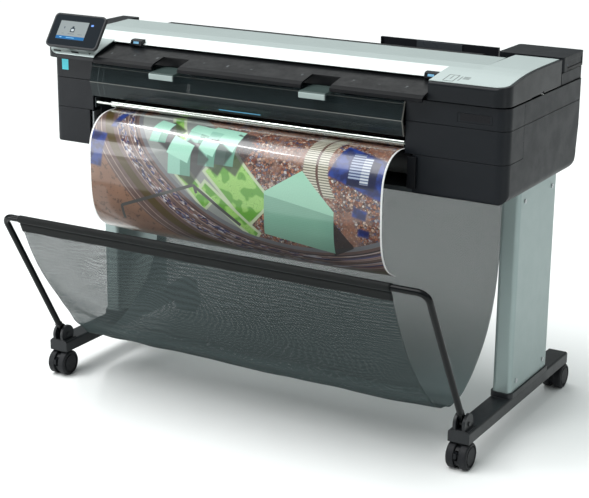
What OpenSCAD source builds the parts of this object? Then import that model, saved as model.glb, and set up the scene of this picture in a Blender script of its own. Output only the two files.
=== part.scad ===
// Large format plotter on a wheeled stand, with a drop basket and a document scanner on top.
// Units are millimetres. +Z is up, the front faces -Y and +X is the viewer's right.

/* [View] */
// Which piece to draw

/* [Overall] */
// Width of the printer body
body_w = 1403; // [1300:1:1500]
// Height of the body's underside above the floor
base_z = 688; // [650:1:720]
// Front face of the body, measured from the model's centre
front_y = -156; // [-170:1:-140]
// Rear face of the body
rear_y = 353; // [330:1:370]
// Thickness of the moulded covers
wall = 3; // [2.5:0.5:4]

/* [Stand] */
// Distance from the middle to the centre of each leg
leg_x = 644; // [630:1:650]
// Width of a leg
leg_w = 54; // [50:1:60]
// Front of the legs
leg_y0 = 24; // [10:1:40]
// Rear of the legs
leg_y1 = 286; // [270:1:300]
// Width of a foot
foot_w = 60; // [56:1:64]
// Radius of a caster wheel
wheel_r = 37; // [35:0.5:38]
// Offset of the wheel axle from the swivel axis
trail = 22; // [18:1:26]

/* [Basket] */
// Radius of the bail tube
bail_r = 9; // [8:0.5:10]
// Angle of the opened bail from upright
bail_open = 30; // [25:1:32]
// Length of the bail from its pivots to its top bar
bail_l = 479; // [460:1:490]
// Left edge of the basket cloth
cloth_x0 = -588; // [-595:1:-560]
// Right edge of the basket cloth
cloth_x1 = 548; // [540:1:595]

/* [Media] */
// Width of the paper
paper_w = 914; // [610:1:914]
// Middle of the paper path, measured from the middle of the body
paper_x = -36; // [-40:1:-34]
// Radius of the paper roll
roll_r = 30; // [28:1:48]

/* [Hidden] */

$fn = 48;
half_w = body_w / 2;
seam_1 = 876;
seam_2 = 791;
base_top = 933;
foot_z0 = 76;
foot_z1 = 108;
foot_y0 = -247;
foot_y1 = 447;
caster_yf = -205;
caster_yr = 414;
pivot_y = -222;
pivot_z = 124;
spin_y = -81;
spin_z = 748;
left_in = -560;
right_in = 424;
left_low_in = -573;
right_low_in = 447;
hinge_y = 197;
hinge_z = 994;
lid_y = 140;
slate = [0.16, 0.17, 0.19];
black = [0.06, 0.06, 0.07];
silver = [0.74, 0.77, 0.76];
steel = [0.55, 0.57, 0.58];

function arc(cx, cy, r, a0, a1, n = 8) =
    [for (i = [0 : n]) [cx + r * cos(a0 + (a1 - a0) * i / n), cy + r * sin(a0 + (a1 - a0) * i / n)]];

module rounded(w, d, r) {
    square([w - 2 * r, d], center = true);
    square([w, d - 2 * r], center = true);
    for (sx = [-1, 1])
        for (sy = [-1, 1])
            translate([sx * (w / 2 - r), sy * (d / 2 - r)])
                circle(r = r);
}

module box(x0, x1, y0, y1, z0, z1) {
    translate([x0, y0, z0])
        cube([x1 - x0, y1 - y0, z1 - z0]);
}

// A bar along X with its round section centred on y, z.
module bar(x0, x1, y, z, r) {
    translate([x0, y, z])
        rotate([0, 90, 0])
            cylinder(r = r, h = x1 - x0);
}

// A profile drawn in the Y-Z plane and extruded along X.
module along_x(x0, x1) {
    translate([x0, 0, 0])
        rotate([90, 0, 90])
            linear_extrude(height = x1 - x0)
                children();
}

// ---------- stand ----------

module leg(s) {
    color(silver)
    translate([s * leg_x, (leg_y0 + leg_y1) / 2, foot_z1])
        difference() {
            linear_extrude(height = base_z - foot_z1)
                rounded(leg_w, leg_y1 - leg_y0, 12);
            translate([0, 0, -1])
                linear_extrude(height = base_z - foot_z1 - 3)
                    rounded(leg_w - 4, leg_y1 - leg_y0 - 4, 10);
        }
}

module leg_left() {
    leg(-1);
}

module leg_right() {
    leg(1);
}

module foot(s) {
    color(black)
    translate([s * leg_x, 0, 0]) {
        difference() {
            translate([0, foot_y1, foot_z0])
                rotate([90, 0, 0])
                    linear_extrude(height = foot_y1 - foot_y0)
                        polygon(concat([[-foot_w / 2, 0], [foot_w / 2, 0]],
                            arc(foot_w / 2 - 6, foot_z1 - foot_z0 - 6, 6, 0, 90, 6),
                            arc(-foot_w / 2 + 6, foot_z1 - foot_z0 - 6, 6, 90, 180, 6)));
            box(-foot_w / 2 + 4, foot_w / 2 - 4, foot_y0 + 5, foot_y1 - 5, foot_z0 - 1, foot_z1 - 4);
        }
        for (y = [caster_yf, caster_yr])
            translate([0, y, foot_z0])
                difference() {
                    cylinder(r = 15, h = foot_z1 - foot_z0 - 3);
                    translate([0, 0, -1])
                        cylinder(r = 5.55, h = 26);
                }
        translate([0, (leg_y0 + leg_y1) / 2, foot_z1 - 1])
            difference() {
                linear_extrude(height = 15)
                    rounded(leg_w + 10, leg_y1 - leg_y0 + 10, 15);
                translate([0, 0, 1])
                    linear_extrude(height = 20)
                        rounded(leg_w, leg_y1 - leg_y0, 12);
            }
    }
}

module foot_left() {
    foot(-1);
}

module foot_right() {
    foot(1);
}

module cross_brace() {
    x = leg_x - leg_w / 2;
    color(silver)
        difference() {
            box(-x, x, 244, 276, 590, 660);
            box(-x - 1, x + 1, 246, 274, 592, 658);
        }
}

module screw_head(s, y, z) {
    translate([s * (leg_x + leg_w / 2), y, z])
        rotate([0, s * 90, 0])
            difference() {
                cylinder(r = 6, h = 2.4);
                translate([0, 0, 1.2])
                    cylinder(r = 2.4, h = 2);
            }
}

module stand_screws() {
    color(steel)
        for (s = [-1, 1])
            for (p = [[60, 650], [250, 650], [60, 150], [250, 150]])
                screw_head(s, p[0], p[1]);
}

// Casters: dir is -1 where the wheel sits in front of its swivel axis and 1 where it sits behind.
module fork(s, y, dir) {
    color(black)
    translate([s * leg_x, y, 0]) {
        translate([0, 0, 60])
            cylinder(r = 5.5, h = 40);
        difference() {
            union() {
                translate([-6, dir * trail, wheel_r])
                    rotate([0, 90, 0])
                        cylinder(r = 31, h = 12);
                box(-6, 6, dir < 0 ? -30 : -12, dir < 0 ? 12 : 30, 44, 71);
                translate([0, 0, 66])
                    cylinder(r = 6, h = 9.4);
            }
            translate([-7, dir * trail, wheel_r])
                rotate([0, 90, 0])
                    cylinder(r = 4.05, h = 14);
            if (dir < 0) {
                box(-4.3, 4.3, -60, -trail - 21, 30, 56);
                bar(-8, 8, -trail - 26, 49, 1.65);
            }
        }
    }
}

module wheels(s, y, dir) {
    color(black)
    translate([s * leg_x, y + dir * trail, wheel_r])
        rotate([0, 90, 0]) {
            translate([0, 0, -10])
                cylinder(r = 4, h = 20);
            for (m = [0, 1])
                mirror([0, 0, m])
                    difference() {
                        translate([0, 0, 7])
                            rotate_extrude($fn = 72)
                                polygon([[0, 0], [wheel_r - 1.5, 0], [wheel_r, 1.5], [wheel_r, 18],
                                    [wheel_r - 4, 22], [0, 22]]);
                        translate([0, 0, 26])
                            rotate_extrude()
                                translate([wheel_r - 13, 0])
                                    square([5, 6]);
                    }
        }
}

module fork_fl() {
    fork(-1, caster_yf, -1);
}

module fork_fr() {
    fork(1, caster_yf, -1);
}

module fork_rl() {
    fork(-1, caster_yr, 1);
}

module fork_rr() {
    fork(1, caster_yr, 1);
}

module wheels_fl() {
    wheels(-1, caster_yf, -1);
}

module wheels_fr() {
    wheels(1, caster_yf, -1);
}

module wheels_rl() {
    wheels(-1, caster_yr, 1);
}

module wheels_rr() {
    wheels(1, caster_yr, 1);
}

// Brake lever: a bent tongue pinned in the slot of the front hood.
module brake(s) {
    color(black)
    translate([s * leg_x, caster_yf - trail - 26, 49]) {
        bar(-4, 4, 0, 0, 4);
        bar(-5.8, 5.8, 0, 0, 1.6);
        box(-4, 4, -14, 0, -1, 4);
        box(-4, 4, -14, -10, -10, 4);
    }
}

module brake_left() {
    brake(-1);
}

module brake_right() {
    brake(1);
}

// ---------- basket ----------

module bail() {
    cr = 28;
    color(black)
    translate([0, pivot_y, pivot_z])
        rotate([bail_open, 0, 0]) {
            for (s = [-1, 1]) {
                difference() {
                    union() {
                        translate([s * leg_x - 7, 0, 0])
                            rotate([0, 90, 0])
                                cylinder(r = 12, h = 14);
                        box(s * leg_x - 7, s * leg_x + 7, -8, 8, 0, 44);
                    }
                    translate([s * leg_x - 8, 0, 0])
                        rotate([0, 90, 0])
                            cylinder(r = 6.05, h = 16);
                }
                translate([s * leg_x, 0, 34])
                    cylinder(r = bail_r, h = bail_l - cr - 34);
            }
            for (s = [-1, 1])
                translate([s * (leg_x - cr), 0, bail_l - cr])
                    rotate([90, 0, 0])
                        rotate([0, 0, s > 0 ? 0 : 90])
                            rotate_extrude(angle = 90)
                                translate([cr, 0])
                                    circle(r = bail_r, $fn = 32);
            bar(-leg_x + cr, leg_x - cr, 0, bail_l, bail_r);
        }
}

module bail_bracket(s) {
    color(black)
    translate([s * leg_x, 0, 0]) {
        box(-24, 24, pivot_y - 24, pivot_y + 28, foot_z1, foot_z1 + 2.5);
        intersection() {
            for (x = [-17, 9])
                bar(x, x + 8, pivot_y, pivot_z, 27);
            box(-40, 40, pivot_y - 40, pivot_y + 40, foot_z1, 200);
        }
        bar(-20, 20, pivot_y, pivot_z, 6);
        box(-16, 16, pivot_y + 16, pivot_y + 21, foot_z1, foot_z1 + 26);
    }
}

module bail_bracket_left() {
    bail_bracket(-1);
}

module bail_bracket_right() {
    bail_bracket(1);
}

// The cloth's side view, from the top bar down, under and up to the rear rod.
bar_y = pivot_y - bail_l * sin(bail_open);
bar_z = pivot_z + bail_l * cos(bail_open);
rod_y = 218;
rod_z = 655;
cloth_path = [[bar_y - 1, bar_z - 9], [-449, 500], [-422, 440], [-388, 374], [-345, 304], [-293, 236],
    [-233, 170], [-170, 122], [-100, 97], [-34, 99], [28, 124], [84, 166], [132, 216], [169, 276],
    [193, 344], [207, 424], [213, 530], [rod_y - 2, rod_z - 7]];

function thick(p, t) =
    let (n = len(p) - 1)
    let (nm = [for (i = [0 : n])
        let (a = p[max(i - 1, 0)], b = p[min(i + 1, n)], d = b - a, l = norm(d)) [-d[1] / l, d[0] / l]])
    concat([for (i = [0 : n]) p[i] + nm[i] * t / 2], [for (i = [n : -1 : 0]) p[i] - nm[i] * t / 2]);

module sling_cloth() {
    color([0.3, 0.32, 0.32])
        difference() {
            union() {
                along_x(cloth_x0, cloth_x1)
                    polygon(thick(cloth_path, 1.6));
                bar(cloth_x0, cloth_x1, bar_y, bar_z, bail_r + 2.6);
                bar(cloth_x0, cloth_x1, rod_y, rod_z, 8.8);
            }
            bar(cloth_x0 - 1, cloth_x1 + 1, bar_y, bar_z, bail_r + 0.8);
            bar(cloth_x0 - 1, cloth_x1 + 1, rod_y, rod_z, 6.8);
        }
}

module sling_rod() {
    x = leg_x - leg_w / 2;
    color(black)
        bar(-x, x, rod_y, rod_z, 6);
}

// ---------- printer body ----------

// The body's outer form, drawn in by i on every side.
module envelope(i = 0, top = base_top) {
    w = half_w - i;
    y0 = front_y + i;
    y1 = rear_y - i;
    z0 = base_z + i;
    c = 24 - i;
    r = 30 - i;
    q = 46 - i;
    intersection() {
        translate([0, 0, z0])
            linear_extrude(height = top - z0)
                union() {
                    translate([0, (y0 + y1) / 2])
                        square([2 * w - 2 * r, y1 - y0], center = true);
                    translate([-w, y0 + r])
                        square([2 * w, y1 - y0 - r - 12]);
                    translate([-w + 12, y1 - 20])
                        square([2 * w - 24, 20]);
                    for (s = [-1, 1])
                        translate([s * (w - r), y0 + r])
                            circle(r = r, $fn = 64);
                    for (s = [-1, 1])
                        translate([s * (w - 12), y1 - 12])
                            circle(r = 12);
                }
        translate([0, 600, 0])
            rotate([90, 0, 0])
                linear_extrude(height = 1200)
                    polygon(concat([[w, top]], arc(w - c, z0 + c, c, 0, -90),
                        arc(-w + c, z0 + c, c, -90, -180), [[-w, top]]));
        along_x(-800, 800)
            polygon(concat([[y0, top], [y0, z0 + 8]], arc(y0 + 8, z0 + 8, 8, 180, 270, 4),
                arc(y1 - 20 - q, z0 + q, q, -90, 0), [[y1 - 20, z0 + q + 8], [y1, 872], [y1, top]]));
    }
}

module shell(x0, x1, y0, y1, z0, z1) {
    intersection() {
        difference() {
            envelope(0);
            envelope(wall, base_top + 5);
        }
        box(x0, x1, y0, y1, z0, z1);
    }
}

// The covers' inboard returns, which close them next to the opening.
module inner_return(x, y1, z0, z1) {
    intersection() {
        envelope(0);
        box(x, x + wall, -300, y1, z0, z1);
    }
}

module side_plate(x) {
    along_x(x, x + 3)
        polygon([[-120, 692], [300, 692], [300, 866], [104, 866], [104, 822], [-60, 822], [-70, 828],
            [-152.5, 828], [-152.5, 800], [-128, 800], [-128, 716]]);
}

module chassis() {
    color(steel)
        difference() {
            union() {
                box(left_low_in + 1, right_low_in - 1, -150, 300, 690, 693);
                box(left_low_in + 1, right_low_in - 1, -153, -149, 690, 702);
                for (m = [0, 1])
                    mirror([m, 0, 0])
                        box(440, 652, -110, 280, 691.5, 694);
                for (y = [104, 146])
                    box(-650, 650, y, y + 4, 693, 733);
                box(-650, 650, 104, 150, 730, 734);
                side_plate(left_in + 4);
                side_plate(right_in + 6);
            }
            for (x = [left_in, right_in + 3]) {
                bar(x, x + 10, spin_y, spin_z, 20);
                bar(x, x + 10, 75, 800, 6.05);
                bar(x, x + 10, -146, 814, 5);
            }
        }
}

module back_cover() {
    color(slate)
        difference() {
            union() {
                shell(left_in + 0.5, right_in - 0.5, 100, 400, 700, base_top);
                box(-474, -320, 316, 337, 752, 800);
            }
            box(-468, -424, 320, 345, 760, 792);
            box(-417, -391, 320, 345, 762, 790);
            box(-380, -362, 320, 345, 766, 784);
            box(-352, -334, 320, 345, 766, 784);
            bar(-420, -388, 332, 776, 1.55);
            for (z = [905, 912, 919])
                box(-400, 300, 345, 380, z, z + 3);
        }
    color(slate)
        for (x = [-456, -446, -436])
            box(x - 1, x + 1, 319, 331, 772, 780);
}

module left_lower_cover() {
    color(slate) {
        shell(-800, left_low_in, -400, 400, 0, seam_2 - 0.6);
        difference() {
            inner_return(left_low_in - wall, -112, 0, seam_2 - 0.6);
            box(-600, -560, -152, -44, 693, 800);
        }
    }
}

module left_middle_cover() {
    color(slate) {
        shell(-800, left_in, -400, 400, seam_2 + 0.6, seam_1 - 0.6);
        inner_return(left_in - wall, -60, seam_2 + 0.6, seam_1 - 0.6);
    }
}

module left_upper_cover() {
    color(slate) {
        shell(-800, left_in, -400, 400, seam_1 + 0.6, base_top);
        inner_return(left_in - wall, -60, seam_1 + 0.6, base_top);
    }
}

module right_lower_cover() {
    color(slate) {
        shell(right_low_in, 800, -400, -49.4, 0, seam_2 - 0.6);
        shell(right_low_in, 800, -49.4, 400, 0, seam_1 - 0.6);
        inner_return(right_low_in, -112, 0, seam_2 - 0.6);
    }
}

module right_middle_cover() {
    color(slate) {
        shell(right_in, 800, -400, -50.6, seam_2 + 0.6, seam_1 - 0.6);
        difference() {
            inner_return(right_in, -60, seam_2 + 0.6, seam_1 - 0.6);
            bar(right_in - 1, right_in + 4, -146, 814, 5.4);
        }
    }
}

module right_upper_cover() {
    color(slate) {
        difference() {
            union() {
                shell(right_in, 800, -400, -50.6, seam_1 + 0.6, base_top);
                inner_return(right_in, -60, seam_1 + 0.6, base_top);
            }
            box(566, 660, front_y - 1, front_y + 0.8, 889, 913);
        }
        box(567, 659, front_y + 0.3, front_y + 1.5, 890, 912);
    }
}

module right_side_strip() {
    color(slate)
        shell(right_in, 800, -49.4, 400, seam_1 + 0.6, base_top);
}

module platen() {
    x0 = left_in + 8;
    x1 = right_in - 3;
    color(black) {
        box(x0, x1, -92, 56, 806, 810);
        box(x0, x1, -92, -88, 799, 810);
        box(x0, x1, 52, 56, 780, 810);
        for (i = [0 : 23])
            translate([x0 + 20 + i * (x1 - x0 - 40) / 23 - 1, -90, 810])
                cube([2, 136, 1.6]);
    }
}

module feed_roller() {
    color(steel) {
        bar(left_in + 9, right_in - 3, 75, 800, 14);
        bar(left_in + 2, right_in + 11, 75, 800, 6);
    }
}

module output_rod() {
    color(silver) {
        bar(-497, right_in - 4, -146, 815, 10.5);
        bar(left_in + 5, right_in + 8, -146, 814, 4.95);
    }
}

module carriage_rail() {
    color(steel)
        difference() {
            union() {
                box(-640, 690, 60, 100, 866, 872);
                box(-640, 690, 94, 100, 842, 926);
                box(-640, 690, 60, 64, 858, 872);
            }
            for (i = [0 : 11])
                translate([-600 + i * 110, 90, 900])
                    rotate([-90, 0, 0])
                        cylinder(r = 8, h = 20);
        }
}

module carriage() {
    color(black) {
        box(500, 596, -34, 57, 832, 896);
        box(506, 590, -30, 50, 896, 914);
        box(500, 596, 57, 90, 874, 896);
        box(510, 586, -28, 20, 826, 832);
    }
}

module service_station() {
    color(black)
        difference() {
            box(486, 620, -44, 52, 740, 822);
            for (i = [0 : 3])
                box(500 + i * 30, 520 + i * 30, -30, 30, 812, 830);
        }
}

// ---------- media ----------

module roll_holder_left() {
    color(silver)
        difference() {
            union() {
                box(-590, -567, -148, -50, 695, 736);
                box(-572, -565, -148, -40, 720, 786);
            }
            bar(-600, -560, spin_y, spin_z, 9.05);
        }
}

module roll_holder_right() {
    color(black)
        difference() {
            union() {
                box(436, 445, -148, -40, 695, 786);
                box(436, 460, -166, -158.5, 703, 786);
                box(436, 445, -166, -145, 703, 786);
            }
            bar(430, 470, spin_y, spin_z, 9.05);
        }
}

module spindle() {
    c = paper_x;
    h = paper_w / 2;
    color(black) {
        bar(-573, 444, spin_y, spin_z, 9);
        for (x = [c - h - 7, c + h + 1])
            bar(x, x + 6, spin_y, spin_z, 41);
        for (x = [c - h - 2, c + h - 38])
            bar(x, x + 40, spin_y, spin_z, 25.5);
    }
}

module paper_roll() {
    color([0.95, 0.95, 0.93])
        difference() {
            bar(paper_x - paper_w / 2, paper_x + paper_w / 2, spin_y, spin_z, roll_r);
            bar(paper_x - paper_w / 2 - 1, paper_x + paper_w / 2 + 1, spin_y, spin_z, 25.5);
        }
}

sheet_path = [[48, 813.4], [-60, 813.4], [-100, 812.6], [-124, 806], [-146, 801.5], [-172, 802], [-200, 798],
    [-226, 787], [-248, 767], [-263, 738], [-269, 700], [-270, 640], [-269, 580], [-261, 536], [-244, 502],
    [-221, 481], [-196, 467]];

module print_sheet() {
    color([0.9, 0.9, 0.92])
        along_x(paper_x - paper_w / 2, paper_x + paper_w / 2)
            polygon(thick(sheet_path, 0.6));
}

// ---------- rear deck and ink ----------

deck_line = [[203, 934], [352, 934], [352, 942], [345, 952], [215, 972], [203, 972]];

module rear_deck() {
    color(black)
        difference() {
            union() {
                along_x(-half_w + 6, 504)
                    polygon(deck_line);
                for (x = [-340, -60, 220]) {
                    for (d = [-13, 7]) {
                        bar(x + d, x + d + 6, hinge_y, hinge_z, 5);
                        along_x(x + d, x + d + 6)
                            polygon([[hinge_y - 3, hinge_z + 4], [hinge_y + 3, hinge_z + 4], [218, 970],
                                [204, 968], [hinge_y - 4, hinge_z - 3]]);
                    }
                    bar(x - 13, x + 13, hinge_y, hinge_z, 3);
                }
                for (x0 = [-560, 100])
                    for (m = [[-6, -1, -2, 12], [365, 370, 352, 366]]) {
                        box(x0 + m[0], x0 + m[1], 333, 342, 946, 968);
                        bar(x0 + m[2], x0 + m[3], 337.5, 965, 1.5);
                    }
            }
            along_x(-half_w + 9, 501)
                polygon([[206, 930], [349, 930], [349, 940], [343, 949], [214, 969], [206, 969]]);
        }
}

module guide(x0) {
    color(black)
        difference() {
            union() {
                box(x0, x0 + 364, 337, 340, 964, 994);
                box(x0, x0 + 4, 331, 340, 968.5, 994);
                box(x0 + 360, x0 + 364, 331, 340, 968.5, 994);
                box(x0 + 110, x0 + 254, 335.5, 338, 973, 991);
                bar(x0, x0 + 364, 337.5, 965, 3);
            }
            bar(x0 - 1, x0 + 14, 337.5, 965, 1.55);
            bar(x0 + 350, x0 + 366, 337.5, 965, 1.55);
        }
}

// The left guide is folded down onto the rear deck, behind the lid.
module guide_left() {
    translate([0, 337.5, 965])
        rotate([85, 0, 0])
            translate([0, -337.5, -965])
                guide(-560);
}

module guide_right() {
    guide(100);
}

module ink_bay() {
    color(black)
        difference() {
            union() {
                box(523, half_w - 4, 205, 350, 934, 966);
                for (y = [208, 230, 318, 340]) {
                    box(515, 525, y, y + 6, 956, 966.5);
                }
                for (y = [208, 318])
                    translate([517, y, 965])
                        rotate([-90, 0, 0])
                            cylinder(r = 1.5, h = 28);
            }
            for (i = [0 : 3])
                box(537 + i * 39, 571 + i * 39, 212, 342, 940, 970);
        }
}

module ink_cartridges() {
    color([0.12, 0.12, 0.13])
        for (i = [0 : 3]) {
            box(538 + i * 39, 570 + i * 39, 216, 338, 940, 988);
            box(544 + i * 39, 564 + i * 39, 216, 230, 988, 994);
        }
}

module ink_cover() {
    w = half_w - 517;
    cy = (203 + rear_y) / 2;
    color(slate)
        difference() {
            union() {
                difference() {
                    translate([517 + w / 2, cy, 969])
                        linear_extrude(height = 39)
                            rounded(w, rear_y - 203, 10);
                    translate([517 + w / 2, cy, 968])
                        linear_extrude(height = 37)
                            rounded(w - 6, rear_y - 209, 7);
                }
                for (y = [214.6, 324.6]) {
                    translate([517, y, 965])
                        rotate([-90, 0, 0])
                            cylinder(r = 3.2, h = 14.8);
                    box(517, 520, y, y + 14.8, 965, 972);
                }
            }
            for (y = [214, 324])
                translate([517, y, 965])
                    rotate([-90, 0, 0])
                        cylinder(r = 1.55, h = 16);
            box(half_w - 1.6, half_w + 1, 232, 342, 977, 995);
        }
}

module power_switch() {
    color(black) {
        bar(-419, -389, 332, 776, 1.5);
        box(-415, -393, 329, 335, 765, 787);
    }
}

// ---------- scanner unit ----------

// Side view of the unit's top, from the front edge back to the hinge line.
top_line = concat([[front_y - 12, 970]], arc(front_y - 2, 976, 10, 178, 100, 5),
    [[front_y + 4, 986.8], [front_y + 14, 988.3], [-130, 990], [-100, 994.5], [-70, 998.5], [-40, 1001.5],
    [0, 1004], [60, 1005], [190, 1005]]);
deck_top = [for (p = top_line) if (p[0] > front_y - 4) p];

// The left side slopes down to a low lip, level with the tray.
left_front = -190;
left_line = [[left_front, 946], [-189, 950], [-185, 954.5], [-178, 958], [-148, 968.5], [-104, 981],
    [-88, 985], [-70, 988], [-26, 1000], [10, 1004], [60, 1005], [190, 1005]];
cap_bottom = 937.5;

module cap_form(x0, x1, i, line, f) {
    intersection() {
        along_x(x0, x1)
            polygon(concat([for (p = line) [min(max(p[0], f + i), 190 - i), p[1] - i]],
                [[190 - i, 935 - i], [f + i, 935 - i]]));
        translate([0, 0, 900])
            linear_extrude(height = 200)
                union() {
                    square([2 * half_w - 72 - 2 * i, 800], center = true);
                    translate([-half_w + i, f + 38])
                        square([2 * half_w - 2 * i, 800]);
                    for (s = [-1, 1])
                        translate([s * (half_w - 38), f + 38])
                            circle(r = 38 - i, $fn = 64);
                }
    }
}

module right_form(i) {
    cap_form(i > 2 ? 491 : 488, 800, i, top_line, front_y - 12);
}

module left_form(i) {
    cap_form(-800, i > 2 ? -533 : -530, i, left_line, left_front);
}

module cap_right() {
    color(black)
        difference() {
            union() {
                difference() {
                    right_form(0);
                    right_form(wall);
                    box(480, 571, -37, 200, 976, 1010);
                }
                intersection() {
                    right_form(1.6);
                    union() {
                        box(489, 574, -40, 188, 973, 976);
                        box(571, 574, -40, 188, 974, 1010);
                        box(489, 574, -40, -37, 974, 1010);
                    }
                }
            }
            deck_cut(486, 694, deck_top, front_y - 5);
            box(480, 800, -300, 300, 930, cap_bottom);
            box(487, 492, -122, 186, 930, 940.6);
            box(half_w - 2, half_w + 2, -8, 72, 934, 942.5);
        }
}

module cap_left() {
    color(black)
        difference() {
            union() {
                difference() {
                    left_form(0);
                    left_form(wall);
                    box(-643.5, -520, -90, 200, 976, 1010);
                }
                intersection() {
                    left_form(1.6);
                    union() {
                        box(-646.5, -531, -93, 188, 973, 976);
                        box(-646.5, -643.5, -93, 188, 974, 1010);
                        box(-646.5, -531, -93, -90, 974, 1010);
                        box(-800, -531, -200, -150, 934, 941);
                    }
                }
            }
            intersection() {
                deck_cut(-694, -528, left_line, left_front + 1);
                box(-800, -500, -300, -88.8, 900, 1100);
            }
            box(-800, -520, -300, 300, 930, cap_bottom);
            box(-534, -529, -122, 186, 930, 940.6);
        }
}

module deck_plan(e, f) {
    translate([0, 0, 900])
        linear_extrude(height = 200)
            union() {
                translate([-half_w + 38, f - e])
                    square([2 * half_w - 76, 400]);
                translate([-half_w + 7.5 - e, f + 31])
                    square([2 * half_w - 15 + 2 * e, 400]);
                for (s = [-1, 1])
                    translate([s * (half_w - 38), f + 31])
                        circle(r = 30.5 + e, $fn = 64);
            }
}

module deck_cut(x0, x1, line, f) {
    y = line[0][0] - 1;
    intersection() {
        along_x(x0, x1)
            polygon(concat([for (p = line) p - [0, 1.5]], [[192, 1003.5], [192, 1030], [y, 1030],
                [y, line[0][1] - 1.5]]));
        deck_plan(0.4, f);
    }
}

module deck_form(x0, x1, line, f) {
    n = len(line) - 1;
    intersection() {
        along_x(x0, x1)
            polygon(concat([for (p = line) p + [0, 1]], [for (k = [n : -1 : 0]) line[k] - [0, 1.4]]));
        deck_plan(0, f);
    }
}

module deck_right() {
    color(silver)
        difference() {
            deck_form(486.5, 693.5, deck_top, front_y - 5);
            box(480, 571, -37, 200, 976, 1010);
        }
}

module deck_left() {
    color(silver) {
        intersection() {
            deck_form(-693.5, -528.5, left_line, left_front + 1);
            box(-800, -500, -300, -89.4, 900, 1100);
        }
        translate([-603.5, 0, 0]) {
            for (x = [-37, 31]) {
                along_x(x, x + 6)
                    polygon([[-165, 962.6], [-147, 968.6], [-151, 996], [-161, 996]]);
                bar(x, x + 6, -155.97, 995.85, 5.4);
            }
            translate([0, -200, 972])
                rotate([-35.5, 0, 0])
                    bar(-37, 37, 22, 45, 3);
        }
    }
}

lid_hinges = [-400, 0, 400];
unit_hinges = [-340, -60, 220];
grip_x = [-326, 143];

module scanner_frame() {
    color(black)
        difference() {
            union() {
                box(-690, 690, -120, 184, 936, 940);
                box(-526, 484, -130, -126, 936, 958);
                box(-526, 484, -130, 186, 936, 940);
                box(-526, 484, 166, 190, 936, 1000);
                box(-526, -522, -126, 186, 936, 950);
                box(480, 484, -126, 186, 936, 950);
                box(-526, -522, -56, 186, 936, 976);
                box(480, 484, -56, 186, 936, 976);
                box(-522, 480, -40, 100, 960, 972);
                box(-522, 480, -34, -30, 940, 960);
                box(-522, 480, 90, 94, 940, 960);
                for (x = unit_hinges) {
                    along_x(x - 6, x + 6)
                        polygon([[186, 982], [hinge_y, hinge_z - 4], [hinge_y, hinge_z + 4], [188, 1000]]);
                    bar(x - 6, x + 6, hinge_y, hinge_z, 5);
                }
                for (x = lid_hinges)
                    for (d = [-14, 8]) {
                        along_x(x + d, x + d + 6)
                            polygon([[148, 985.5], [168, 980], [168, 996], [148, 994.5]]);
                        bar(x + d, x + d + 6, 148, 990, 4.5);
                    }
                for (x = lid_hinges)
                    bar(x - 14, x + 14, 148, 990, 2.5);
            }
            for (x = unit_hinges)
                bar(x - 7, x + 7, hinge_y, hinge_z, 3.05);
        }
}

module input_tray() {
    color(black)
        difference() {
            along_x(-527, 486)
                polygon([[-58, 976], [-58, 979], [-184, 951], [-195, 944], [-197, 936], [-192, 934],
                    [-188, 943], [-182, 947]]);
            for (x = grip_x)
                box(x - 4, x + 81, -210, -134, 925, 985);
        }
}

module window() {
    color([0.2, 0.24, 0.25, 0.6]) {
        along_x(left_in + 2, right_in - 2)
            polygon([[-157, 836], [-168.5, 876], [-156, 920], [-132, 931.5], [-132, 935], [-158, 925],
                [-172.5, 876], [-160, 834]]);
        for (x = grip_x) {
            along_x(x, x + 77)
                polygon([[-133, 931.2], [-133, 935], [-160, 934.5], [-208, 931.5], [-214, 927], [-213, 914],
                    [-209, 914], [-209.5, 925], [-162, 926.5]]);
        }
    }
}

lid_line = [[-88, 981], [-26, 999.5], [20, 1004], [lid_y - 6, 1006.5], [lid_y, 1003]];

module scanner_lid() {
    color(silver)
        difference() {
            union() {
                difference() {
                    along_x(-641.5, 568)
                        polygon(concat(lid_line, [[lid_y, 984], [-80, 979.5], [-88, 979.5]]));
                    along_x(-637.5, 564)
                        polygon([[-66, 975], [-66, 984], [-24, 995], [20, 1000], [132, 1001], [132, 975]]);
                }
                for (x = lid_hinges) {
                    along_x(x - 7.5, x + 7.5)
                        polygon([[136, 985.5], [148, 985.5], [148, 994.5], [136, 998]]);
                    bar(x - 7.5, x + 7.5, 148, 990, 4.5);
                }
            }
            box(485.5, 600, -100, -36, 970, 1010);
            for (x = lid_hinges)
                bar(x - 9, x + 9, 148, 990, 2.55);
            for (x = [-470, 442])
                box(x, x + 38, -100, -70, 970, 1000);
        }
}

module latch(x) {
    color(black) {
        along_x(x + 0.5, x + 37.5)
            polygon([[-97, 977], [-94, 990], [-86, 993], [-75, 993], [-75, 980], [-90, 977]]);
    }
}

// Places the touch panel's own frame: x across, z up its face, y into the panel.
module on_panel() {
    translate([-603.5, -200, 972])
        rotate([-35.5, 0, 0])
            children();
}

module panel_slab(w, h, r, y0, y1, zc) {
    translate([0, y1, zc])
        rotate([90, 0, 0])
            linear_extrude(height = y1 - y0)
                rounded(w, h, r);
}

module touch_panel() {
    color(black)
        on_panel()
            difference() {
                union() {
                    panel_slab(177, 103, 13, 0, 9, 51.5);
                    panel_slab(165, 91, 9, 8, 15, 51.5);
                    bar(-30, 30, 22, 45, 6);
                    box(-30, 30, 10, 20, 40, 50);
                }
                panel_slab(168, 94, 9, -1, 1.4, 51.5);
                bar(-31, 31, 22, 45, 3.05);
            }
}

module touch_screen() {
    color([0.03, 0.03, 0.04])
        on_panel()
            panel_slab(167.4, 93.4, 8.7, 0.1, 1.4, 51.5);
}

module latch_left() {
    latch(-470);
}

module latch_right() {
    latch(442);
}

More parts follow.
